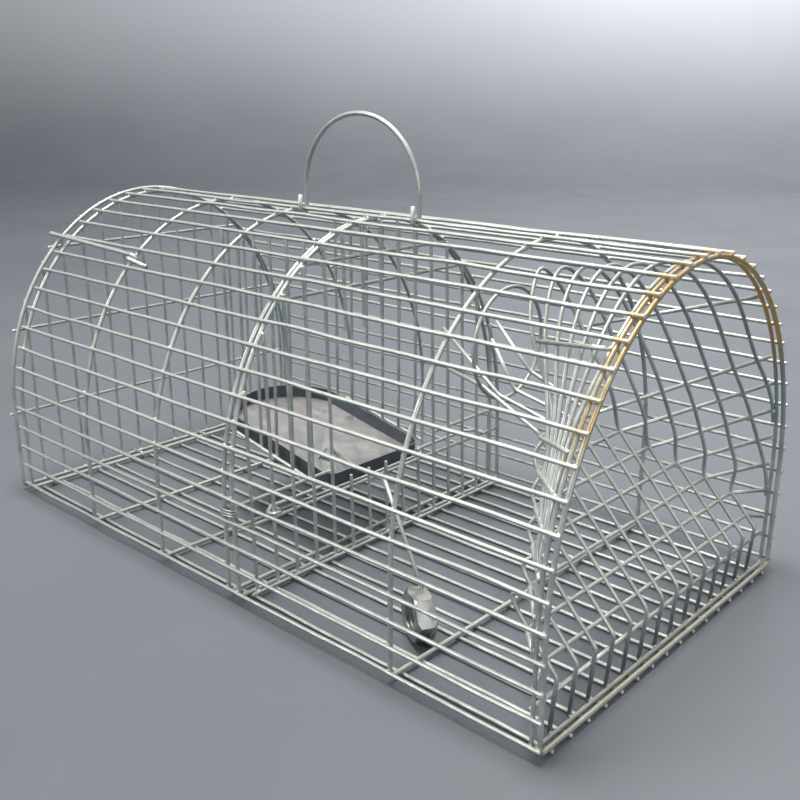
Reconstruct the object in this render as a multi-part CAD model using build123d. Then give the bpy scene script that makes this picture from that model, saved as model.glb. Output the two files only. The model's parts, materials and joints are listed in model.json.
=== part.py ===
from build123d import *
import math
import os

# Multi-catch live trap: an arched cage of welded, galvanised wire.
# +X runs from the rear door to the funnel entrance, +Y is the far side, +Z is up.
# The origin lies on the floor, below the middle of the rear ring.  Millimetres.

# ------------------------------------------------------------------ wire stock
ring_r = 1.2              # radius of the rings, ribs and frames
mesh_r = 1.0              # radius of the stringers, bars and cross wires
heavy_r = 1.35            # radius of the handle and of the door latch
tie_r = 0.6               # radius of the soft tie wire
weld_sink = 0.2           # how far welded wires are pressed into each other
running_gap = 0.06        # radial clearance of an eye on the wire that it turns on

# ------------------------------------------------------------------ cage shell
front_x = 410.0           # centre of the front ring
rib_x = {"rib_1": 78.0, "rib_2": 150.5, "rib_3": 211.0, "rib_4": 328.0}
half_width = 113.0        # arch: half width over the rib centre line
side_height = 57.0        # arch: top of the straight sides
crown_height = 191.0      # arch: rib centre line at the ridge
corner_r = 3.0            # bend at the foot of every arch
shell_pitch = 13.25       # spacing of the stringers along the arch
stringers_per_side = 19
floor_pitch = 14.0
floor_wire_pairs = 8
tail_length = 4.0         # the stringers stand out this far behind the rear ring
nose_length = 1.6         # and this far in front of the front ring

floor_z = 2 * mesh_r + ring_r - weld_sink        # centre of every floor cross wire
stringer_out = ring_r + mesh_r - weld_sink       # stringer centre, outside the rib centre line

# ------------------------------------------------------------------ partition and treadle guards
partition_x = 219.5       # foot of the partition
partition_lean = 1.8      # degrees, the top leans towards the rear
bar_pitch = 14.6
bars_per_side = 7
opening_bars = 2          # bars on each side of the middle one that are cut at the opening
sill_height = 48.0        # top of the cut lower bars
lintel_height = 132.0     # lower end of the cut upper bars
cross_heights = (40.0, 156.0, 172.0)
sill_wire_height = 54.0   # this cross wire is missing in the opening
guard_stringer = 3        # the guards hang from this stringer, counted from the ridge
guard_rear_x = 132.5
guard_pitch = 14.0
guard_wires = 6
tie_height = 50.3
tie_turns = 3

# ------------------------------------------------------------------ treadle
axle_x, axle_z = 212.5, 43.5
axle_r = 1.0
axle_bar = 6              # the axle is hooked round this partition bar on both sides
treadle_rise = 11.5       # degrees, the rear of the pan is up at rest
pan_width = 78.6
pan_y = -3.7              # the pan sits a little towards the near side
pan_wall = 0.5
pan_depth = 9.0
pan_corner_r = 7.0        # front corners
pan_rear_r = 44.5         # the rear wall is one large arc
pan_rear_x = -105.0       # rearmost point, from the axle
pan_shoulder_r = 12.0     # where the arc meets the side walls
pan_front = 2.4           # front wall ahead of the axle
pan_floor = -1.9          # underside of the pan below the axle
lug_centre = (-23.0, -20.0)   # slot that the lug was pressed out of
lug_length, lug_width = 9.0, 3.0
lug_heading, lug_lean = 30.0, 62.0
arm_r = 1.1
arm_bend = (264.5, -48.6, 62.8)
nut_flats, nut_height, nut_bore = 24.0, 10.0, 14.0
nut_centre = (314.0, -77.0, 14.1)
nut_heading = -29.0       # direction of the arm over the nut, seen from above


# ------------------------------------------------------------------ funnel entrance
frame_x = 406.1           # arched frame that carries the funnel
frame_growth = ring_r - mesh_r                   # the thin frame still meets the stringers
frame_foot = 3 * mesh_r - weld_sink
skirt_x = frame_x - 2 * mesh_r + weld_sink       # the funnel wires stand behind the frame
skirt_wire_z = 22.0
bend_x, bend_z = 406.5, 30.0
ramp_slope = 1.1          # rise per millimetre towards the rear
funnel_pitch = 15.0
wrapped_wires = 5         # wires per side that turn into an arch above the ramp
outer_arches = {-1: 44.0, -2: 88.0}              # arches whose ends run out onto the frame: height
ramp_wire_z, ramp_wire_rise = 35.5, 10.6         # cross wires where they cross the ramp
side_wire_z, side_wire_rise = 31.0, 16.1         # and where they end on the funnel frame
cross_wires = 7
crown_x, crown_z = 374.0, 184.0                  # top of wrapped wire 0
crown_step = (-12.5, -2.0)
top_wire_z = 163.0        # end of the short upper wires on the funnel frame
top_wire_overhang = 8.0   # they stand out this far beyond the last arch they cross
throat_x, throat_z, throat_r = 306.0, 135.5, 29.0
prong_tips = {-22.5: (281.0, 120.0), -7.5: (267.0, 138.0), 7.5: (291.0, 134.0), 22.5: (285.0, 141.0)}

# ------------------------------------------------------------------ door, latch and handle
door_x = -7.5             # plane of the door frame
door_growth = 2.2         # the door frame is this much larger than the rear ring
door_bar_pitch = 15.2
door_bar_pairs = 7
door_cross_heights = (53.0, 108.5, 159.5)
hinge_loop_y = (-98.0, -28.0, 28.0, 98.0)
hinge_r = 0.75            # wire of the door's hinge eyes
latch_arc = -79.5         # where the latch eye sits, along rib 1 from the ridge
latch_tail_x = -15.5
latch_gap = 0.12
latch_tail_side = 4.0
latch_stub = 12.0         # free end of the latch beyond its eye
latch_stub_drop = 5.0     # it dips this far towards the cage
handle_x = (160.5, 248.0)
handle_rise = 12.0        # straight part of each leg
stub_height = 8.0


# ------------------------------------------------------------------ helpers
def rod(start, end, radius):
    """A straight piece of round wire."""
    direction = Vector(*end) - Vector(*start)
    return Solid.make_cylinder(radius, direction.length, Plane(origin=start, z_dir=direction))


def bent_wire(path, radius, transition=Transition.TRANSFORMED):
    """A piece of round wire along a path."""
    section = Plane(origin=path @ 0, z_dir=path % 0) * Circle(radius)
    return sweep(section, path=path, transition=transition).solid()


def arch_z(y, growth=0.0):
    """Height of the arch centre line above the floor plane at y."""
    reach = half_width + growth
    rise = crown_height + growth - side_height
    return side_height + rise * math.sqrt(max(0.0, 1 - (y / reach) ** 2))


def arch_y(z, growth=0.0):
    """Half width of the arch centre line at height z."""
    if z <= side_height:
        return half_width + growth
    rise = crown_height + growth - side_height
    return (half_width + growth) * math.sqrt(max(0.0, 1 - ((z - side_height) / rise) ** 2))


def arch_loop(plane, radius, growth=0.0, foot=None):
    """A closed D-shaped loop of wire: floor line, bent corners, straight sides, elliptical crown."""
    foot = floor_z if foot is None else foot
    reach = half_width + growth
    inner = reach - corner_r
    knee = foot + corner_r
    edges = [
        Line((0, foot), (inner, foot)),
        CenterArc((inner, knee), corner_r, 270, 90),
        Line((reach, knee), (reach, side_height)),
        EllipticalCenterArc((0, side_height), reach, crown_height + growth - side_height, 0, arc_size=180),
        Line((-reach, side_height), (-reach, knee)),
        CenterArc((-inner, knee), corner_r, 180, 90),
        Line((-inner, foot), (0, foot)),
    ]
    return bent_wire(Wire(edges).moved(plane.location), radius)


def shell_point(arc_length, outward):
    """(y, z) at a distance along the arch from the ridge, moved outward from the rib centre line."""
    crown = EllipticalCenterArc((0, side_height), half_width, crown_height - side_height, 90, arc_size=-90)
    knee = floor_z + corner_r
    below_crown = abs(arc_length) - crown.length
    around_corner = below_crown - (side_height - knee)
    if below_crown < 0:
        point = crown.position_at(abs(arc_length) / crown.length)
        tangent = crown.tangent_at(abs(arc_length) / crown.length)
        y = point.X - tangent.Y * outward
        z = point.Y + tangent.X * outward
    elif around_corner < 0:
        y = half_width + outward
        z = side_height - below_crown
    else:
        angle = around_corner / corner_r
        y = half_width - corner_r + (corner_r + outward) * math.cos(angle)
        z = knee - (corner_r + outward) * math.sin(angle)
    return math.copysign(y, arc_length), z


def across(x):
    """The YZ plane at x, with its local X along +Y and its local Y along +Z."""
    return Plane(origin=(x, 0, 0), x_dir=(0, 1, 0), z_dir=(1, 0, 0))


def save(name, *solids):
    """Write one node: one or several separate solids."""
    shape = solids[0] if len(solids) == 1 else Compound(list(solids))
    export_step(shape, f"parts/{name}.step")


# ------------------------------------------------------------------ shell
def shell_stringers():
    wires = []
    for index in range(stringers_per_side):
        for side in (-1, 1):
            y, z = shell_point(side * (index + 0.5) * shell_pitch, stringer_out)
            wires.append(rod((-tail_length, y, z), (front_x + nose_length, y, z), mesh_r))
    return wires


def floor_stringers():
    wires = []
    for index in range(floor_wire_pairs):
        for side in (-1, 1):
            y = side * (index + 0.5) * floor_pitch
            wires.append(rod((-ring_r, y, mesh_r), (front_x + nose_length, y, mesh_r), mesh_r))
    return wires


# ------------------------------------------------------------------ partition
partition = Plane(
    origin=(partition_x, 0, 0),
    x_dir=(0, 1, 0),
    z_dir=(math.cos(math.radians(partition_lean)), 0, math.sin(math.radians(partition_lean))),
)
bar_offset = ring_r + mesh_r - 2 * weld_sink       # the bars lie on the front of the frame
bar_foot = 2 * mesh_r + 0.1


def on_partition(y, height, offset=0.0):
    """A point of the leaning partition: across, up and ahead of its plane."""
    return partition.from_local_coords((y, height, offset))


def partition_bars():
    bars = []
    for index in range(-bars_per_side, bars_per_side + 1):
        y = index * bar_pitch
        spans = [(bar_foot, arch_z(y))]
        if abs(index) <= opening_bars:
            spans = [(bar_foot, sill_height), (lintel_height, arch_z(y))]
        for low, high in spans:
            bars.append(rod(on_partition(y, low, bar_offset), on_partition(y, high, bar_offset), mesh_r))
    return bars


def partition_cross_wires():
    wires = []
    for height in cross_heights:
        reach = arch_y(height)
        wires.append(rod(on_partition(-reach, height), on_partition(reach, height), mesh_r))
    jamb = (opening_bars + 1) * bar_pitch
    reach = arch_y(sill_wire_height)
    for side in (-1, 1):
        outer = on_partition(side * reach, sill_wire_height)
        inner = on_partition(side * jamb, sill_wire_height)
        wires.append(rod(outer, inner, mesh_r))
    foot_height = 3 * mesh_r - weld_sink
    foot_offset = bar_offset + 2 * mesh_r - weld_sink
    near_end = on_partition(6.0 - half_width, foot_height, foot_offset)
    far_end = on_partition(half_width - 3.0, foot_height, foot_offset)
    wires.append(rod(near_end, far_end, mesh_r))
    return wires


def partition_tie():
    """Soft wire wound three times round rib 3 and the partition frame, near side."""
    rear = rib_x["rib_3"]
    front = on_partition(0, tie_height).X
    middle = (rear + front) / 2
    long_axis = (front - rear) / 2 + ring_r + tie_r + 0.7
    short_axis = ring_r + tie_r + 0.7
    pitch = 2 * tie_r + 0.3
    points = []
    steps = 12 * tie_turns
    for step in range(steps + 1):
        angle = 2 * math.pi * step / 12
        x = middle + long_axis * math.cos(angle)
        y = -half_width + short_axis * math.sin(angle)
        points.append((x, y, tie_height - 2 + pitch * step / 12))
    return bent_wire(Spline(*points), tie_r)


def treadle_guard(side):
    """Upright wires beside the treadle, welded to a shell stringer and joined by a sloping rail."""
    y, top = shell_point(side * (guard_stringer + 0.5) * shell_pitch, stringer_out)
    rail_y = y + side * (2 * mesh_r - weld_sink)
    rise = math.tan(math.radians(treadle_rise))
    rail_front = (axle_x - 6.0, rail_y, axle_z + 2.0)
    rail_rear_x = guard_rear_x + 6.0
    rail_rear = (rail_rear_x, rail_y, rail_front[2] + (rail_front[0] - rail_rear_x) * rise)
    wires = [rod(rail_front, rail_rear, mesh_r)]
    for index in range(guard_wires):
        x = guard_rear_x + index * guard_pitch
        low = rail_front[2] + (rail_front[0] - x) * rise - 2.0
        wires.append(rod((x, y, low), (x, y, top - mesh_r + weld_sink), mesh_r))
    return wires


def treadle_axle():
    """Axle wire behind the partition; each end is bent round a partition bar."""
    bar = on_partition(axle_bar * bar_pitch, axle_z, bar_offset)
    wrap = mesh_r + axle_r - weld_sink / 2
    points = [
        (bar.X + wrap, -(bar.Y - 3.0), axle_z),
        (bar.X + wrap, -(bar.Y + wrap), axle_z),
        (bar.X - 3.0, -(bar.Y + wrap), axle_z),
        (axle_x, -(bar.Y - 4.0), axle_z),
        (axle_x, bar.Y - 4.0, axle_z),
        (bar.X - 3.0, bar.Y + wrap, axle_z),
        (bar.X + 6.0, bar.Y + wrap, axle_z),
    ]
    return bent_wire(FilletPolyline(*points, radius=wrap), axle_r)


# ------------------------------------------------------------------ treadle
def tilted(x, y, z):
    """A point of the pan, given from the axle with the pan level, at its rest slope."""
    angle = math.radians(treadle_rise)
    return (
        axle_x + x * math.cos(angle) + z * math.sin(angle),
        y,
        axle_z - x * math.sin(angle) + z * math.cos(angle),
    )


def pan_outline(inset):
    """Outline of the pan, seen from above: straight front and sides, the rear is an arc."""
    half = pan_width / 2 - inset
    front = pan_front - inset
    arc_centre = pan_rear_x + pan_rear_r
    side_end = arc_centre - math.sqrt((pan_rear_r - inset) ** 2 - half ** 2)
    edges = [
        Line((front, -half), (front, half)),
        Line((front, half), (side_end, half)),
        ThreePointArc((side_end, half), (pan_rear_x + inset, 0), (side_end, -half)),
        Line((side_end, -half), (front, -half)),
    ]
    face = Face(Wire(edges))
    corners = face.vertices().sort_by(Axis.X)
    face = face.fillet_2d(pan_shoulder_r - inset, corners[:2])
    return face.fillet_2d(pan_corner_r - inset, face.vertices().sort_by(Axis.X)[-2:])


def treadle_pan():
    """Sheet tray with a lug pressed up out of its floor; the axle crosses its side walls."""
    tray = extrude(Pos(0, pan_y, pan_floor) * pan_outline(0), pan_depth, dir=(0, 0, 1))
    hollow = extrude(Pos(0, pan_y, pan_floor + pan_wall) * pan_outline(pan_wall), pan_depth, dir=(0, 0, 1))
    hole = Cylinder(axle_r + running_gap, 2 * pan_width, rotation=(90, 0, 0))
    lug_place = Pos(*lug_centre, pan_floor) * Rot(0, 0, lug_heading)
    slot = lug_place * Box(lug_length, lug_width + 0.2, 4 * pan_wall)
    lean = math.radians(lug_lean)
    lug_middle = Pos(
        (lug_length * (math.cos(lean) - 1) - pan_wall) / 2, 0, (lug_length * math.sin(lean) + pan_wall) / 2
    )
    lug = lug_place * lug_middle * Rot(0, -lug_lean, 0) * Box(lug_length, lug_width, pan_wall)
    tray = tray - hollow - hole - slot + lug
    return (Pos(axle_x, 0, axle_z) * Rot(0, treadle_rise, 0) * tray).solid()


def counterweight_arm():
    """Wire arm from the pan floor, over the front wall, forward and down to the nut."""
    floor_top = pan_floor + pan_wall
    start = tilted(-30.0, -8.0, floor_top + arm_r - weld_sink)
    over_wall = tilted(pan_front, -24.0, pan_floor + pan_depth + arm_r - weld_sink)
    weld = (nut_centre[0] - 1.5, nut_centre[1] + 3.5, nut_centre[2] + nut_flats / 2 + arm_r - weld_sink)
    return bent_wire(FilletPolyline(start, over_wall, arm_bend, weld, radius=9.0), arm_r)


def counterweight_nut():
    """Plain hexagon nut standing on a flat, its bore square to the arm."""
    corner_radius = nut_flats / math.sqrt(3)
    blank = extrude(RegularPolygon(corner_radius, 6, rotation=0), nut_height / 2, both=True)
    chamfer_tool = Cone(corner_radius + nut_height / 2 - 1.5, corner_radius - 1.5, nut_height / 2)
    top = Pos(0, 0, nut_height / 4) * chamfer_tool
    bottom = Rot(180, 0, 0) * top
    body = blank & (top + bottom)
    body = body - Cylinder(nut_bore / 2, nut_height * 2)
    pitch = 2.0
    for turn in range(4):
        ridge = Pos(0, 0, (turn - 1.5) * pitch) * Torus(nut_bore / 2, 0.75)
        body = body - ridge
    stand = Pos(*nut_centre) * Rot(0, 0, nut_heading) * Rot(90, 0, 0)
    return (stand * body).solid()


# ------------------------------------------------------------------ funnel
def ramp_point(y, z):
    """A point of the ramp plane."""
    return Vector(bend_x - (z - bend_z) / ramp_slope, y, z)


def crease_point(row):
    """Where cross wire number row turns from the ramp into the side of the funnel."""
    column = max(0, row - 1)
    return ramp_point(funnel_pitch * (6.5 - column), ramp_wire_z + ramp_wire_rise * row)


def side_end(z):
    """A far-side point on the rear of the funnel frame, where a wire end is welded on."""
    return Vector(frame_x - 1.4 * mesh_r, arch_y(z), z)


def lattice_point(row, column):
    """Crossing of cross wire row and arch column, on the far side of the funnel."""
    crease = crease_point(row)
    share = (row - 1 - column) / (1.35 * row - 0.5)
    return crease + (side_end(side_wire_z + side_wire_rise * row) - crease) * share


def crown_point(column, share):
    """A point of arch column above the last cross wire; share 1 is the ridge."""
    start = lattice_point(cross_wires - 1, column)
    top = Vector(crown_x + crown_step[0] * column, 0, crown_z + crown_step[1] * column)
    climb = 1 - (1 - share) ** 2
    return Vector(start.X + (top.X - start.X) * climb, start.Y * (1 - share), start.Z + (top.Z - start.Z) * climb)


def mirrored(points):
    """The same points on the near side, in the opposite order."""
    return [Vector(point.X, -point.Y, point.Z) for point in reversed(points)]


def arch_points(column, start, first_row):
    """Spline points of an arch, from its far start over the ridge to the near side."""
    half = [start]
    half += [lattice_point(row, column) for row in range(first_row, cross_wires)]
    half += [crown_point(column, share) for share in (0.35, 0.7)]
    return half + [crown_point(column, 1)] + mirrored(half)


def throat_bottom(y):
    """Height of the lower half of the throat ring at y."""
    return throat_z - math.sqrt(throat_r ** 2 - y ** 2)


def funnel_ramp_wires():
    """Four middle wires: up the skirt and the ramp, over the throat ring and on as free prongs."""
    top_z = ramp_wire_z + ramp_wire_rise * (cross_wires - 1) + 2.0
    wires = []
    for y, (tip_x, tip_z) in prong_tips.items():
        points = [
            (skirt_x, y, floor_z),
            (bend_x, y, bend_z),
            ramp_point(y, top_z),
            (throat_x, y * 0.9, throat_bottom(y * 0.9) + 2 * mesh_r - weld_sink),
            (tip_x, y * 0.75, tip_z),
        ]
        wires.append(bent_wire(FilletPolyline(*points, radius=7.0), mesh_r))
    return wires


def funnel_wrapped_wires():
    """Ten side wires that meet in five arches: skirt, ramp, over the throat and down again."""
    wires = []
    for column in range(wrapped_wires):
        crease = crease_point(column + 1)
        up_ramp = (-1.0, 0.0, ramp_slope)
        down_ramp = (1.0, 0.0, -ramp_slope)
        arch = Spline(*arch_points(column, crease, column + 2), tangents=(up_ramp, down_ramp))
        foot = Vector(skirt_x, crease.Y, floor_z)
        bend = Vector(bend_x, crease.Y, bend_z)
        far = FilletPolyline(foot, bend, crease, radius=3.0)
        near = FilletPolyline(*mirrored([foot, bend, crease]), radius=3.0)
        wires.append(bent_wire(Wire(far.edges() + [arch] + near.edges()), mesh_r))
    return wires


def funnel_upper_arches():
    """Two outer arches of mesh wire whose ends run out onto the funnel frame."""
    wires = []
    for column, end_z in outer_arches.items():
        rows_above = [row for row in range(cross_wires) if side_wire_z + side_wire_rise * row > end_z + 12.0]
        first_row = rows_above[0]
        wires.append(bent_wire(Spline(*arch_points(column, side_end(end_z), first_row)), mesh_r))
    return wires


def funnel_cross_wires():
    """Cross wires of skirt and ramp, each running on along both sides to the funnel frame."""
    wires = [rod((skirt_x, -half_width, skirt_wire_z), (skirt_x, half_width, skirt_wire_z), mesh_r)]
    behind = Vector(-1.3 * mesh_r, 0, 0)
    for row in range(cross_wires):
        half = [side_end(side_wire_z + side_wire_rise * row), crease_point(row) + behind]
        wires.append(bent_wire(FilletPolyline(*half, *mirrored(half), radius=10.0), mesh_r))
    return wires


def funnel_radial_wires():
    """Short upper wires, from the funnel frame across the arches on both sides."""
    outer = side_end(top_wire_z)
    crossed = crown_point(3, 0.35) + Vector(-mesh_r, 0, 0)
    heading = (crossed - outer).normalized()
    ends = [outer - heading * 0.6, crossed + heading * top_wire_overhang]
    return [rod(*ends, mesh_r), rod(*mirrored(ends), mesh_r)]


def throat_ring():
    return Solid.make_torus(throat_r, mesh_r, Plane(origin=(throat_x, 0, throat_z), z_dir=(1, 0, 0)))


# ------------------------------------------------------------------ rear door
def door_bars():
    bars = []
    for index in range(door_bar_pairs):
        for side in (-1, 1):
            y = side * (index + 0.5) * door_bar_pitch
            x = door_x - mesh_r - ring_r + weld_sink
            bars.append(rod((x, y, floor_z - 0.5), (x, y, arch_z(y, door_growth) + 0.8), mesh_r))
    return bars


def door_cross_wires():
    x = door_x - ring_r - 3 * mesh_r + 2 * weld_sink
    wires = []
    for height in door_cross_heights:
        reach = arch_y(height, door_growth) + 2.0
        wires.append(rod((x, -reach, height), (x, reach, height), mesh_r))
    return wires


def door_hinge_loops():
    """Wire eyes on the foot of the door that turn on the floor wire of the rear ring."""
    eye_r = ring_r + running_gap + hinge_r
    loops = []
    for y in hinge_loop_y:
        eye = CenterArc((0, floor_z), eye_r, 150, -300)
        tail_start = eye @ 0
        tail = Line((door_x - ring_r, floor_z + 2.2), (tail_start.X, tail_start.Y))
        plane = Plane(origin=(0, y, 0), x_dir=(1, 0, 0), z_dir=(0, -1, 0))
        path = Wire([tail, eye]).moved(plane.location)
        loops.append(bent_wire(path, hinge_r, Transition.ROUND))
    return loops


# ------------------------------------------------------------------ latch and handle
def latch_wire():
    """Straight latch rod that lies on the door frame; its eye turns on rib 1."""
    eye_y, eye_z = shell_point(latch_arc, 0.0)
    out_y, out_z = shell_point(latch_arc, 1.0)
    outward = Vector(0, out_y - eye_y, out_z - eye_z)
    along = Vector(1, 0, 0)
    sideways = outward.cross(along)
    centre = Vector(rib_x["rib_1"], eye_y, eye_z)
    turn_r = ring_r + latch_gap + heavy_r
    tail_lift = door_growth + ring_r + heavy_r + 1.0
    tail = centre + along * (latch_tail_x - rib_x["rib_1"]) + outward * tail_lift + sideways * latch_tail_side
    turns = 1.07
    steps = 14
    width = (2 * heavy_r + 0.35) * turns
    coil = []
    for step in range(steps + 1):
        angle = 2 * math.pi * turns * step / steps
        drift = width / 2 - width * step / steps
        radial = outward * (turn_r * math.cos(angle)) + along * (turn_r * math.sin(angle))
        coil.append(centre + radial + sideways * drift)
    free_end = coil[-1] + along * latch_stub - outward * latch_stub_drop
    points = [tail + (coil[0] - tail) * share for share in (0, 0.3, 0.6, 0.8, 0.92, 0.975)]
    points += coil
    points += [coil[-1] + (free_end - coil[-1]) * share for share in (0.15, 0.5, 1)]
    return bent_wire(Spline(*points), heavy_r)


def carry_handle():
    """Bail of heavy wire; both ends are bent up round the near ridge stringer."""
    pivot_y, pivot_z = shell_point(-shell_pitch / 2, stringer_out)
    hook_r = mesh_r + running_gap + heavy_r
    left, right = handle_x
    span = right - left
    crown_z = pivot_z + handle_rise
    leg_y = pivot_y + hook_r
    stub_y = pivot_y - hook_r

    def hook(x):
        down = Plane(origin=(x, pivot_y, pivot_z), x_dir=(0, 1, 0), z_dir=(1, 0, 0))
        return CenterArc((0, 0), hook_r, 180, 180).moved(down.location)

    bow_plane = Plane(origin=((left + right) / 2, leg_y, crown_z), x_dir=(1, 0, 0), z_dir=(0, -1, 0))
    bow = EllipticalCenterArc((0, 0), span / 2, 42.0, 180, arc_size=-180).moved(bow_plane.location)
    edges = [
        Line((left, stub_y, pivot_z + stub_height), (left, stub_y, pivot_z)),
        hook(left),
        Line((left, leg_y, pivot_z), (left, leg_y, crown_z)),
        bow,
        Line((right, leg_y, crown_z), (right, leg_y, pivot_z)),
        hook(right),
        Line((right, stub_y, pivot_z), (right, stub_y, pivot_z + stub_height)),
    ]
    return bent_wire(Wire(edges), heavy_r)


# ------------------------------------------------------------------ write the nodes
os.makedirs("parts", exist_ok=True)

save("rear_ring", arch_loop(across(0.0), ring_r))
for rib_name, x in rib_x.items():
    save(rib_name, arch_loop(across(x), ring_r))
save("front_ring", arch_loop(across(front_x), ring_r))
save("shell_stringers", *shell_stringers())
save("floor_stringers", *floor_stringers())

save("partition_frame", arch_loop(partition, ring_r))
save("partition_bars", *partition_bars())
save("partition_cross_wires", *partition_cross_wires())
save("partition_tie", partition_tie())
save("near_treadle_guard", *treadle_guard(-1))
save("far_treadle_guard", *treadle_guard(1))
save("treadle_axle", treadle_axle())

save("funnel_frame", arch_loop(across(frame_x), mesh_r, frame_growth, frame_foot))
save("funnel_ramp_wires", *funnel_ramp_wires())
save("funnel_wrapped_wires", *funnel_wrapped_wires())
save("funnel_upper_arches", *funnel_upper_arches())
save("funnel_cross_wires", *funnel_cross_wires())
save("funnel_radial_wires", *funnel_radial_wires())
save("throat_ring", throat_ring())

save("door_frame", arch_loop(across(door_x), ring_r, door_growth, floor_z + 0.2))
save("door_bars", *door_bars())
save("door_cross_wires", *door_cross_wires())
save("door_hinge_loops", *door_hinge_loops())

save("door_latch", latch_wire())
save("carry_handle", carry_handle())

save("treadle_pan", treadle_pan())
save("counterweight_arm", counterweight_arm())
save("counterweight_nut", counterweight_nut())
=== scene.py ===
import json
import math
import random

import bmesh
import bpy
import numpy as np
from mathutils import Matrix, Vector
from mathutils.bvhtree import BVHTree


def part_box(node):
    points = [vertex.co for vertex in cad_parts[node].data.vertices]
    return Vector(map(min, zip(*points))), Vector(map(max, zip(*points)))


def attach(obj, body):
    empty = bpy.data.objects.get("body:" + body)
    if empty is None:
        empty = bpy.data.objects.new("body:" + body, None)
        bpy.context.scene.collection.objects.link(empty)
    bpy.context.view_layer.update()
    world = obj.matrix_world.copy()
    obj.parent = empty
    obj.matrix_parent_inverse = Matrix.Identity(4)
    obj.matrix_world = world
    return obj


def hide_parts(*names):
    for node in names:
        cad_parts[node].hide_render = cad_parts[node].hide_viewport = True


# Looks of a welded-wire live catch trap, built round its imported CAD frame.  Metres.
# +X runs from the rear door to the funnel entrance, the near side is -Y, the floor is z = 0.
# Straight wires are drawn again, round and slightly bowed, with bright sheared ends.  Bent wires, the
# pan and the nut are the CAD nodes with new materials.  Every welded crossing gets a lump of metal.

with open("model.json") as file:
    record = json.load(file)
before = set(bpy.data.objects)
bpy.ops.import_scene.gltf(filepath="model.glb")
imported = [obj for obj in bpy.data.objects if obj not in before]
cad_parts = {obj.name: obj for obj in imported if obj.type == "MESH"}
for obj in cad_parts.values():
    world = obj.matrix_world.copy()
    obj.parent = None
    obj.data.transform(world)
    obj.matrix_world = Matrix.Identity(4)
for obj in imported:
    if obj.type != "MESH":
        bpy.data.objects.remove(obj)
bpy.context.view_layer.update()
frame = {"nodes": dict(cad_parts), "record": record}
record = frame["record"]
node_body = {node: body for body, nodes in record["behaviour"]["bodies"].items() for node in nodes}
rng = random.Random(11)
MM = 0.001
MERGE = 0.01 * MM                                   # corners of the CAD meshes closer than this are one

FRONT_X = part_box("front_ring")[1].x
CROWN_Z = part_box("front_ring")[1].z

# nodes that are made only of straight wires
STRAIGHT_NODES = (
    "shell_stringers",
    "floor_stringers",
    "partition_bars",
    "partition_cross_wires",
    "near_treadle_guard",
    "far_treadle_guard",
    "door_bars",
    "door_cross_wires",
)
BOW = {"shell_stringers": 0.55 * MM, "floor_stringers": 0.5 * MM}       # size of a wire's bows
SHORT_WIRE_BOW = 0.15 * MM                          # the same, in the other straight nodes
BOW_SPREAD = 0.5                                    # spread of single bows, as a share of that size
BAY = 70 * MM                                       # about the length of one bow
JUST_INSIDE = 0.9999                                # share of the length that counts as the last bow
WIRE_SIDES = 14
RING_STEP = 6 * MM                                  # about the distance between rings along a wire

# sheared wire ends, all in wire radii
END_RINGS = ((0.0, 0.62), (0.12, 0.86), (0.35, 1.0))     # (distance from the end, radius there)
PLAIN_FROM = 0.6                                    # the evenly spaced rings start this far in
BURR = 0.22                                         # how far an end face may slant
BRIGHT_REACH = 0.2                                  # bare metal up to here, fading from here on
FADE_START = 0.6                                    # brightness that the fade counts down from
FADE_REACH = 2.5                                    # distance over which it loses a whole unit

# weld beads
THIN_BEAD = 1.0 * MM                                # between two mesh wires
HEAVY_BEAD = 1.25 * MM                              # where one of the wires is heavier
BEAD_GAP = 3.2 * MM                                 # touches closer than this share one bead
LONGEST_EDGE = 3 * MM                               # faces are split to this size to find the touches
BEAD_STRETCH = (0.8, 1.25)
BEAD_LUMP = 0.14

# width of the softened edges on the two solid pieces
SOFT_EDGE = {"treadle_pan": 0.25 * MM, "counterweight_nut": 0.4 * MM}


# ------------------------------------------------------------------ small helpers
def mesh_object(name, vertices, faces, body, material, cut=None):
    """A smooth mesh piece that rides on a body; cut marks the bare metal of sheared ends."""
    mesh = bpy.data.meshes.new(name)
    mesh.from_pydata(vertices, [], faces)
    mesh.update()
    mesh.shade_smooth()
    mesh.set_sharp_from_angle(angle=math.radians(50))
    attribute = mesh.attributes.new("cut", "FLOAT", "POINT")
    attribute.data.foreach_set("value", cut if cut is not None else [0.0] * len(vertices))
    mesh.materials.append(material)
    piece = bpy.data.objects.new(name, mesh)
    bpy.context.scene.collection.objects.link(piece)
    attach(piece, body)
    return piece


def separate_wires(node):
    """The loose wires of a CAD node, each as an array of its corner points."""
    bm = bmesh.new()
    bm.from_mesh(frame["nodes"][node].data)
    bmesh.ops.remove_doubles(bm, verts=bm.verts, dist=MERGE)
    seen = set()
    groups = []
    for start in bm.verts:
        if start in seen:
            continue
        seen.add(start)
        stack, group = [start], []
        while stack:
            vertex = stack.pop()
            group.append(vertex.co[:])
            for edge in vertex.link_edges:
                other = edge.other_vert(vertex)
                if other not in seen:
                    seen.add(other)
                    stack.append(other)
        groups.append(np.array(group))
    bm.free()
    return groups


def straight_wires(node):
    """(start, end, radius) of every straight wire in a CAD node."""
    wires = []
    for points in separate_wires(node):
        centre = points.mean(axis=0)
        axis = np.linalg.svd(points - centre, full_matrices=False)[2][0]
        along = (points - centre) @ axis
        across = points - centre - np.outer(along, axis)
        radius = np.linalg.norm(across, axis=1).max()
        start = Vector(centre + axis * along.min())
        end = Vector(centre + axis * along.max())
        wires.append((start, end, radius))
    return wires


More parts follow.
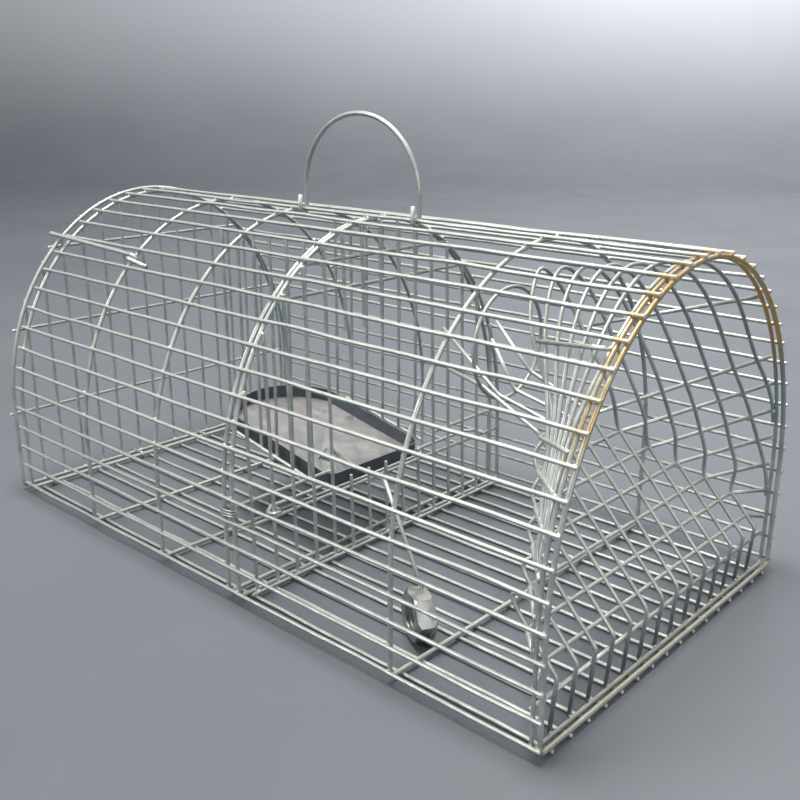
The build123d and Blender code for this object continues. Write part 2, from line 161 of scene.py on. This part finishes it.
# ------------------------------------------------------------------ node material helpers
class Graph:
    """A new material, with short names for the node calls that the materials share."""

    def __init__(self, name):
        self.material = bpy.data.materials.new(name)
        self.material.use_nodes = True
        self.nodes = self.material.node_tree.nodes
        self.links = self.material.node_tree.links
        self.shader = self.nodes["Principled BSDF"]
        self.place = self.nodes.new("ShaderNodeTexCoord").outputs["Object"]

    def put(self, socket, value):
        """A link if the value is a socket, else a fixed value."""
        if isinstance(value, bpy.types.NodeSocket):
            self.links.new(value, socket)
        else:
            socket.default_value = value

    def noise(self, scale, detail=3.0, rough=0.55, stretch=None):
        place = self.place
        if stretch:
            mapping = self.nodes.new("ShaderNodeMapping")
            mapping.inputs["Scale"].default_value = stretch
            self.links.new(place, mapping.inputs["Vector"])
            place = mapping.outputs["Vector"]
        node = self.nodes.new("ShaderNodeTexNoise")
        node.inputs["Scale"].default_value = scale
        node.inputs["Detail"].default_value = detail
        node.inputs["Roughness"].default_value = rough
        self.links.new(place, node.inputs["Vector"])
        return node.outputs["Fac"]

    def remap(self, value, low, high, to_low=0.0, to_high=1.0):
        """A smooth step from to_low at low to to_high at high."""
        node = self.nodes.new("ShaderNodeMapRange")
        node.interpolation_type = "SMOOTHSTEP"
        self.put(node.inputs["Value"], value)
        node.inputs["From Min"].default_value = low
        node.inputs["From Max"].default_value = high
        node.inputs["To Min"].default_value = to_low
        node.inputs["To Max"].default_value = to_high
        return node.outputs["Result"]

    def math(self, operation, a, b=0.0):
        node = self.nodes.new("ShaderNodeMath")
        node.operation = operation
        self.put(node.inputs[0], a)
        self.put(node.inputs[1], b)
        return node.outputs["Value"]

    def mix(self, factor, a, b):
        node = self.nodes.new("ShaderNodeMix")
        node.data_type = "RGBA"
        self.put(node.inputs["Factor"], factor)
        self.put(node.inputs["A"], (*a, 1.0) if isinstance(a, tuple) else a)
        self.put(node.inputs["B"], (*b, 1.0) if isinstance(b, tuple) else b)
        return node.outputs["Result"]

    def position(self, axis):
        """X, Y or Z in the piece's own frame, in metres."""
        node = self.nodes.new("ShaderNodeSeparateXYZ")
        self.links.new(self.place, node.inputs["Vector"])
        return node.outputs[axis]

    def upward(self):
        """1 on faces that look up in the room, -1 on faces that look down."""
        geometry = self.nodes.new("ShaderNodeNewGeometry")
        node = self.nodes.new("ShaderNodeSeparateXYZ")
        self.links.new(geometry.outputs["Normal"], node.inputs["Vector"])
        return node.outputs["Z"]

    def flatness(self):
        """1 on faces that look up or down in the piece's own frame, 0 on upright ones."""
        node = self.nodes.new("ShaderNodeSeparateXYZ")
        coordinates = self.nodes.new("ShaderNodeTexCoord")
        self.links.new(coordinates.outputs["Normal"], node.inputs["Vector"])
        return self.math("ABSOLUTE", node.outputs["Z"])

    def attribute(self, name):
        node = self.nodes.new("ShaderNodeAttribute")
        node.attribute_name = name
        return node.outputs["Fac"]

    def bump(self, height, strength, distance):
        node = self.nodes.new("ShaderNodeBump")
        node.inputs["Strength"].default_value = strength
        node.inputs["Distance"].default_value = distance
        self.links.new(height, node.inputs["Height"])
        self.links.new(node.outputs["Normal"], self.shader.inputs["Normal"])

    def finish(self, color, metallic, roughness):
        self.put(self.shader.inputs["Base Color"], color)
        self.put(self.shader.inputs["Metallic"], metallic)
        self.put(self.shader.inputs["Roughness"], roughness)
        return self.material


# ------------------------------------------------------------------ materials
ZINC_LIGHT = (0.84, 0.85, 0.80)
ZINC_MID = (0.56, 0.61, 0.59)
# dark zinc: the colour of random stains, and of painted shade under the wires
ZINC_STAIN_AND_SHADE = (0.19, 0.25, 0.27)
# painted highlight colour, lightening the tops of the wires and of the nut
PAINTED_TOP_LIGHT = (0.86, 0.83, 0.69)
GOLD = (0.58, 0.38, 0.12)
BARE = (0.95, 0.95, 0.93)
WELD_DULL = (0.66, 0.67, 0.63)
WELD_BRIGHT = (0.92, 0.92, 0.88)
WELD_GOLD = (0.60, 0.36, 0.12)
SHEET_DARK = (0.42, 0.415, 0.41)
SHEET_LIGHT = (0.52, 0.51, 0.495)
SHEET_DIRT = (0.33, 0.28, 0.24)
SHEET_RUBBED = (0.66, 0.66, 0.68)
# painted shade colour for the upright walls of the pan
SHEET_WALL_SHADE = (0.07, 0.09, 0.12)
NUT_DARK = (0.30, 0.32, 0.33)
NUT_LIGHT = (0.62, 0.62, 0.58)
# painted shade colour for the underside of the nut
NUT_UNDER_SHADE = (0.10, 0.13, 0.15)
FLOOR_DARK = (0.150, 0.165, 0.185)
FLOOR_LIGHT = (0.175, 0.190, 0.210)
# painted light: the colour the floor is lightened to as it rises into the backdrop
PAINTED_BACKDROP_LIGHT = (0.80, 0.81, 0.84)


def galvanised_wire(name, top_light, gold_reach=0.0):
    """Dipped zinc on wire: cloudy and stained, with a painted highlight on top and painted shade
    underneath, bare at sheared ends.

    Within gold_reach of the front it has a yellow tint, high up on the arch and faintly at the floor.
    """
    g = Graph(name)
    cloud = g.noise(85.0, 4.0)
    color = g.mix(g.remap(cloud, 0.34, 0.68), ZINC_MID, ZINC_LIGHT)
    stain = g.remap(g.noise(240.0, 5.0, 0.7), 0.56, 0.72)
    color = g.mix(g.math("MULTIPLY", stain, 0.45), color, ZINC_STAIN_AND_SHADE)
    # painted highlight: faces that look up are lightened towards a cream colour
    top = g.remap(g.upward(), -0.1, 0.9, 0.0, top_light)
    color = g.mix(top, color, PAINTED_TOP_LIGHT)
    # painted shade: faces that look down are darkened towards dark zinc
    under = g.remap(g.upward(), 0.35, -0.55, 0.0, 0.85)
    color = g.mix(under, color, ZINC_STAIN_AND_SHADE)
    if gold_reach:
        near_front = g.remap(g.position("X"), FRONT_X - gold_reach, FRONT_X - 0.35 * gold_reach)
        high = g.remap(g.position("Z"), 0.58 * CROWN_Z, 0.76 * CROWN_Z)
        low = g.remap(g.position("Z"), 0.07 * CROWN_Z, 0.03 * CROWN_Z, 0.0, 0.22)
        patch = g.remap(g.noise(60.0, 4.0), 0.30, 0.52, 0.45, 1.0)
        gold = g.math("MULTIPLY", g.math("MULTIPLY", near_front, g.math("MAXIMUM", high, low)), patch)
        color = g.mix(g.math("MULTIPLY", gold, 0.85), color, GOLD)
    cut = g.attribute("cut")
    color = g.mix(cut, color, BARE)
    rough = g.remap(cloud, 0.3, 0.7, 0.50, 0.34)
    rough = g.math("SUBTRACT", rough, g.math("MULTIPLY", cut, 0.12))
    g.bump(g.noise(900.0, 3.0), 0.25, 0.12 * MM)
    return g.finish(color, 0.6, rough)


def weld_metal(name):
    """Fused zinc and steel of the spot welds: brighter and speckled, yellow high on the front ring."""
    g = Graph(name)
    speck = g.noise(700.0, 4.0)
    color = g.mix(g.remap(speck, 0.35, 0.65), WELD_DULL, WELD_BRIGHT)
    near_front = g.remap(g.position("X"), FRONT_X - 9 * MM, FRONT_X - 4 * MM)
    high = g.remap(g.position("Z"), 0.62 * CROWN_Z, 0.80 * CROWN_Z)
    gold = g.math("MULTIPLY", near_front, high)
    color = g.mix(g.math("MULTIPLY", gold, 0.75), color, WELD_GOLD)
    g.bump(g.noise(1500.0, 3.0), 0.5, 0.2 * MM)
    return g.finish(color, 0.85, g.remap(speck, 0.3, 0.7, 0.34, 0.5))


def pan_sheet(name):
    """Dull galvanised sheet: faint spangle, patches of brown dirt, rubbed streaks, painted shade on the
    upright walls.
    """
    g = Graph(name)
    cells = g.nodes.new("ShaderNodeTexVoronoi")
    cells.inputs["Scale"].default_value = 140.0
    g.links.new(g.place, cells.inputs["Vector"])
    spangle = g.nodes.new("ShaderNodeSeparateColor")
    g.links.new(cells.outputs["Color"], spangle.inputs["Color"])
    color = g.mix(spangle.outputs["Red"], SHEET_DARK, SHEET_LIGHT)
    dirt = g.remap(g.noise(38.0, 5.0, 0.65), 0.42, 0.70)
    color = g.mix(g.math("MULTIPLY", dirt, 0.45), color, SHEET_DIRT)
    streak = g.remap(g.noise(60.0, 3.0, 0.6, (1.0, 9.0, 1.0)), 0.55, 0.75)
    color = g.mix(g.math("MULTIPLY", streak, 0.35), color, SHEET_RUBBED)
    # painted shade: upright faces of the walls are darkened nearly to black
    upright = g.remap(g.flatness(), 0.75, 0.35)
    color = g.mix(g.math("MULTIPLY", upright, 0.85), color, SHEET_WALL_SHADE)
    rough = g.remap(g.noise(120.0, 4.0), 0.3, 0.7, 0.36, 0.56)
    g.bump(g.noise(26.0, 3.0), 0.35, 0.9 * MM)
    return g.finish(color, 0.7, rough)


def floor_paint(name):
    """Smooth grey floor, painted lighter with height as a painted wash of light up the backdrop."""
    g = Graph(name)
    color = g.mix(g.remap(g.noise(3.0, 3.0), 0.3, 0.7), FLOOR_DARK, FLOOR_LIGHT)
    # painted light: the colour goes pale with height up the backdrop
    color = g.mix(g.remap(g.position("Z"), -0.08, 0.80), color, PAINTED_BACKDROP_LIGHT)
    return g.finish(color, 0.0, g.remap(g.noise(7.0, 2.0), 0.3, 0.7, 0.34, 0.42))


def nut_steel(name):
    """Zinc plated nut: cloudy, with a painted cream highlight on top and painted shade underneath."""
    g = Graph(name)
    cloud = g.noise(160.0, 5.0, 0.6)
    color = g.mix(g.remap(cloud, 0.35, 0.65), NUT_DARK, NUT_LIGHT)
    # painted highlight: faces that look up are lightened towards cream
    color = g.mix(g.math("MULTIPLY", g.remap(g.upward(), 0.3, 0.9), 0.45), color, PAINTED_TOP_LIGHT)
    # painted shade: faces that look down are darkened
    color = g.mix(g.remap(g.upward(), 0.0, -0.6, 0.0, 0.6), color, NUT_UNDER_SHADE)
    g.bump(g.noise(420.0, 4.0), 0.35, 0.25 * MM)
    return g.finish(color, 0.9, g.remap(cloud, 0.3, 0.7, 0.26, 0.46))


MATERIALS = {
    "ring_wire": galvanised_wire("ring_zinc", top_light=0.45),
    "front_ring_wire": galvanised_wire("front_ring_zinc", top_light=0.6, gold_reach=20 * MM),
    "mesh_wire": galvanised_wire("mesh_zinc", top_light=0.4, gold_reach=10 * MM),
    "tie_wire": galvanised_wire("tie_zinc", top_light=0.2),
    "handle_wire": galvanised_wire("handle_zinc", top_light=0.15),
    "pan_sheet": pan_sheet("pan_zinc"),
    "nut_steel": nut_steel("nut_zinc"),
}
WELD = weld_metal("weld_zinc")
node_slot = {row["node"]: row["material_slot"] for row in record["subparts"]}


# ------------------------------------------------------------------ straight wires, drawn round
def ring_stations(length, radius):
    """(distance from the start, radius) of every ring of a wire whose ends are rounded by shearing."""
    inner_count = max(3, round(length / RING_STEP))
    inner = np.linspace(PLAIN_FROM * radius, length - PLAIN_FROM * radius, inner_count)
    stations = [(reach * radius, share * radius) for reach, share in END_RINGS]
    stations += [(distance, radius) for distance in inner]
    stations += [(length - reach * radius, share * radius) for reach, share in reversed(END_RINGS)]
    return stations


def bare_share(distance, length, radius):
    """1 on the bare metal of a sheared end, fading to 0 along the wire."""
    from_end = min(distance, length - distance)
    if from_end < BRIGHT_REACH * radius:
        return 1.0
    return max(0.0, FADE_START - from_end / (FADE_REACH * radius))


def tube_faces(ring_count):
    """Faces of a closed tube whose rings follow one another, with a flat face at each end."""
    faces = []
    for row in range(ring_count - 1):
        for step in range(WIRE_SIDES):
            a = row * WIRE_SIDES + step
            b = row * WIRE_SIDES + (step + 1) % WIRE_SIDES
            faces.append((a, b, b + WIRE_SIDES, a + WIRE_SIDES))
    last = (ring_count - 1) * WIRE_SIDES
    faces.append(tuple(reversed(range(WIRE_SIDES))))
    faces.append(tuple(range(last, last + WIRE_SIDES)))
    return faces


def bowed_wire(start, end, radius, bow_size):
    """Vertices, faces and cut marks of one round wire with small bows and sheared ends."""
    length = (end - start).length
    axis = (end - start).normalized()
    side = axis.orthogonal().normalized()
    up = axis.cross(side)
    bays = max(1, round(length / BAY))
    bows = [(rng.gauss(0, BOW_SPREAD), rng.gauss(0, BOW_SPREAD)) for _ in range(bays)]
    angles = [2 * math.pi * step / WIRE_SIDES for step in range(WIRE_SIDES)]
    stations = ring_stations(length, radius)
    vertices, cut = [], []
    for distance, ring in stations:
        position = min(JUST_INSIDE, distance / length) * bays
        bow = bows[int(position)]
        shape = bow_size * math.sin(math.pi * (position % 1.0)) ** 2
        centre = start + axis * distance + side * (bow[0] * shape) + up * (bow[1] * shape)
        for angle in angles:
            vertices.append(centre + side * (ring * math.cos(angle)) + up * (ring * math.sin(angle)))
        cut.extend([bare_share(distance, length, radius)] * WIRE_SIDES)
    slant = rng.uniform(-BURR * radius, BURR * radius)
    for step, angle in enumerate(angles):
        vertices[-1 - step] += axis * (slant * math.cos(angle))
    return vertices, tube_faces(len(stations)), cut


def redraw_straight_node(node):
    """One piece with every wire of the node; it stands for the CAD node."""
    vertices, faces, cut = [], [], []
    for start, end, radius in straight_wires(node):
        bow_size = BOW.get(node, SHORT_WIRE_BOW)
        wire_vertices, wire_faces, wire_cut = bowed_wire(start, end, radius, bow_size)
        offset = len(vertices)
        vertices.extend(wire_vertices)
        faces.extend(tuple(index + offset for index in face) for face in wire_faces)
        cut.extend(wire_cut)
    slot = node_slot[node]
    piece = mesh_object("round_" + node, vertices, faces, node_body[node], MATERIALS[slot], cut)
    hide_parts(node)
    return piece


# ------------------------------------------------------------------ CAD nodes that are shown
def dress_cad_node(node):
    """Material, merged corners and smooth shading on a CAD node; its shape stays as it is."""
    obj = frame["nodes"][node]
    obj.data.materials.clear()
    obj.data.materials.append(MATERIALS[node_slot[node]])
    obj.data.shade_smooth()
    merge = obj.modifiers.new("merge", "WELD")
    merge.merge_threshold = MERGE
    if node in SOFT_EDGE:
        bevel = obj.modifiers.new("soft_edges", "BEVEL")
        bevel.width = SOFT_EDGE[node]
        bevel.segments = 3
        bevel.limit_method = "ANGLE"
        bevel.angle_limit = math.radians(35)
        bevel.harden_normals = True


# ------------------------------------------------------------------ weld beads
def refined_tree(mesh):
    """A search tree over a mesh, and the middles of its faces, with long faces split up."""
    mesh.calc_loop_triangles()
    places = np.empty(3 * len(mesh.vertices))
    mesh.vertices.foreach_get("co", places)
    corners = np.empty(3 * len(mesh.loop_triangles), dtype=np.int32)
    mesh.loop_triangles.foreach_get("vertices", corners)
    triangles = places.reshape(-1, 3)[corners].reshape(-1, 3, 3)
    short = []
    while len(triangles):
        lengths = np.linalg.norm(triangles - np.roll(triangles, -1, axis=1), axis=2)
        split = lengths.max(axis=1) > LONGEST_EDGE
        short.append(triangles[~split])
        rows = np.flatnonzero(split)
        first = lengths[rows].argmax(axis=1)
        a = triangles[rows, first]
        b = triangles[rows, (first + 1) % 3]
        c = triangles[rows, (first + 2) % 3]
        middle = (a + b) / 2
        triangles = np.concatenate([np.stack([a, middle, c], axis=1), np.stack([middle, b, c], axis=1)])
    triangles = np.concatenate(short)
    faces = np.arange(3 * len(triangles)).reshape(-1, 3).tolist()
    tree = BVHTree.FromPolygons(triangles.reshape(-1, 3).tolist(), faces, all_triangles=True)
    return tree, triangles.mean(axis=1)


def touching_spots(first, second):
    """Middle points of the places where two wire meshes run into each other."""
    spots = []
    for a, b in first[0].overlap(second[0]):
        point = Vector(first[1][a] + second[1][b]) / 2
        for spot in spots:
            if (spot[0] / spot[1] - point).length < BEAD_GAP:
                spot[0] += point
                spot[1] += 1
                break
        else:
            spots.append([point.copy(), 1])
    return [total / count for total, count in spots]


def bead_template():
    """Corner points and faces of a ball of radius 1."""
    bm = bmesh.new()
    bmesh.ops.create_icosphere(bm, subdivisions=2, radius=1.0)
    points = [vertex.co.copy() for vertex in bm.verts]
    faces = [tuple(vertex.index for vertex in face.verts) for face in bm.faces]
    bm.free()
    return points, faces


def weld_beads(name, spots, body):
    """Small lumps of fused metal at the given (spot, size) places, each of its own shape."""
    points, template_faces = bead_template()
    vertices, faces = [], []
    for spot, size in spots:
        offset = len(vertices)
        spin = Matrix.Rotation(rng.uniform(0, math.tau), 3, Vector((rng.gauss(0, 1), rng.gauss(0, 1), 1)))
        stretch = Vector([size * rng.uniform(*BEAD_STRETCH) for _ in range(3)])
        for point in points:
            lump = 1 + BEAD_LUMP * math.sin(5 * point.x + offset) * math.cos(4 * point.y - offset)
            vertices.append(spot + spin @ (point * stretch) * lump)
        faces.extend(tuple(index + offset for index in face) for face in template_faces)
    piece = mesh_object(name, vertices, faces, body, WELD)


# ------------------------------------------------------------------ build the looks
shown_mesh = {}
for node in frame["nodes"]:
    if node in STRAIGHT_NODES:
        shown_mesh[node] = redraw_straight_node(node).data
    else:
        dress_cad_node(node)
        shown_mesh[node] = frame["nodes"][node].data

trees = {node: refined_tree(mesh) for node, mesh in shown_mesh.items()}
spots_of_body = {}
for first, second in record["behaviour"]["press_fits"]:
    thin = node_slot[first] == "mesh_wire" and node_slot[second] == "mesh_wire"
    size = THIN_BEAD if thin else HEAVY_BEAD
    found = [(spot, size) for spot in touching_spots(trees[first], trees[second])]
    spots_of_body.setdefault(node_body[first], []).extend(found)
for body, spots in spots_of_body.items():
    weld_beads("welds_" + body, spots, body)


# ------------------------------------------------------------------ floor, light and camera
TARGET = (0.2, 0, 0.1)                              # the middle of the cage, which the lights face
BACKDROP_TARGET = (-0.9, 3.1, 0.6)
FLOOR_MIDDLE = Vector((0.2, 0, -0.0002))            # a hair under the floor wires
FLOOR_DIRECTION = 42.0                              # degrees from +Y towards -X that the floor runs away
FLOOR_NEAR, FLOOR_FAR = -3.0, 2.2                   # where it starts, and where it starts to rise
FLOOR_HALF_WIDTH = 5.0
COVE_RADIUS = 1.2
COVE_STEPS = 12
WALL_TOP = 5.0

# name, place, target, diameter, power in watts, colour
LIGHTS = (
    ("overhead", (0.1, -0.1, 1.7), TARGET, 0.7, 29.0, (1.0, 0.99, 0.96)),
    ("window", (-0.8, -1.5, 1.2), TARGET, 0.8, 13.0, (0.97, 0.99, 1.0)),
    ("fill", (2.0, -0.6, 0.9), (0.25, 0, 0.1), 1.0, 8.0, (0.93, 0.97, 1.0)),
    ("backdrop_wash", (0.2, 2.0, 2.3), BACKDROP_TARGET, 1.6, 62.0, (0.97, 0.98, 1.0)),
)
ROOM_COLOR = (0.60, 0.63, 0.68, 1.0)
ROOM_STRENGTH = 0.28

CAMERA_PLACE = (0.589, -0.395, 0.2585)
CAMERA_AZIMUTH = 42.18                              # degrees from +Y towards -X
CAMERA_DROP = 17.69                                 # degrees below level
CAMERA_ROLL = 0.21
FOCAL_LENGTH = 43.65                                # millimetres, on a sensor 36 mm wide


def cove():
    """A pale floor that curves up into the background."""
    profile = [(FLOOR_NEAR, 0.0), (FLOOR_FAR, 0.0)]
    for step in range(1, COVE_STEPS + 1):
        angle = math.radians(90 * step / COVE_STEPS)
        rise = COVE_RADIUS * (1 - math.cos(angle))
        profile.append((FLOOR_FAR + COVE_RADIUS * math.sin(angle), rise))
    profile.append((FLOOR_FAR + COVE_RADIUS, WALL_TOP))
    away = math.radians(FLOOR_DIRECTION)
    ahead = Vector((-math.sin(away), math.cos(away), 0))
    right = Vector((math.cos(away), math.sin(away), 0))
    up = Vector((0, 0, 1))
    vertices = []
    for distance, height in profile:
        for side in (-FLOOR_HALF_WIDTH, FLOOR_HALF_WIDTH):
            vertices.append(FLOOR_MIDDLE + ahead * distance + right * side + up * height)
    faces = [(2 * i, 2 * i + 1, 2 * i + 3, 2 * i + 2) for i in range(len(profile) - 1)]
    mesh = bpy.data.meshes.new("cove")
    mesh.from_pydata(vertices, [], faces)
    mesh.shade_smooth()
    mesh.materials.append(floor_paint("floor_paint"))
    floor = bpy.data.objects.new("cove", mesh)
    bpy.context.scene.collection.objects.link(floor)


def soft_light(name, place, target, diameter, power, color):
    """A round lamp that faces its target."""
    data = bpy.data.lights.new(name, "AREA")
    data.shape = "DISK"
    data.size = diameter
    data.energy = power
    data.color = color
    lamp = bpy.data.objects.new(name, data)
    bpy.context.scene.collection.objects.link(lamp)
    lamp.location = place
    lamp.rotation_euler = (Vector(target) - Vector(place)).to_track_quat("-Z", "Y").to_euler()


def room_light():
    """Even, dim light from all round, and plain tones."""
    world = bpy.data.worlds.new("room")
    world.use_nodes = True
    background = world.node_tree.nodes["Background"]
    background.inputs["Color"].default_value = ROOM_COLOR
    background.inputs["Strength"].default_value = ROOM_STRENGTH
    bpy.context.scene.world = world
    bpy.context.scene.view_settings.view_transform = "Standard"


def camera():
    """The camera looks down the length of the cage from the near front corner."""
    azimuth, drop = math.radians(CAMERA_AZIMUTH), math.radians(CAMERA_DROP)
    level = Vector((-math.sin(azimuth), math.cos(azimuth), 0))
    look = level * math.cos(drop) - Vector((0, 0, math.sin(drop)))
    roll = Matrix.Rotation(math.radians(CAMERA_ROLL), 3, "Z")
    turn = look.to_track_quat("-Z", "Y").to_matrix() @ roll
    data = bpy.data.cameras.new("camera")
    data.sensor_width = 36.0
    data.lens = FOCAL_LENGTH
    data.clip_start = 0.01
    eye = bpy.data.objects.new("camera", data)
    bpy.context.scene.collection.objects.link(eye)
    eye.matrix_world = Matrix.Translation(CAMERA_PLACE) @ turn.to_4x4()
    bpy.context.scene.camera = eye


cove()
for light in LIGHTS:
    soft_light(*light)
room_light()
camera()
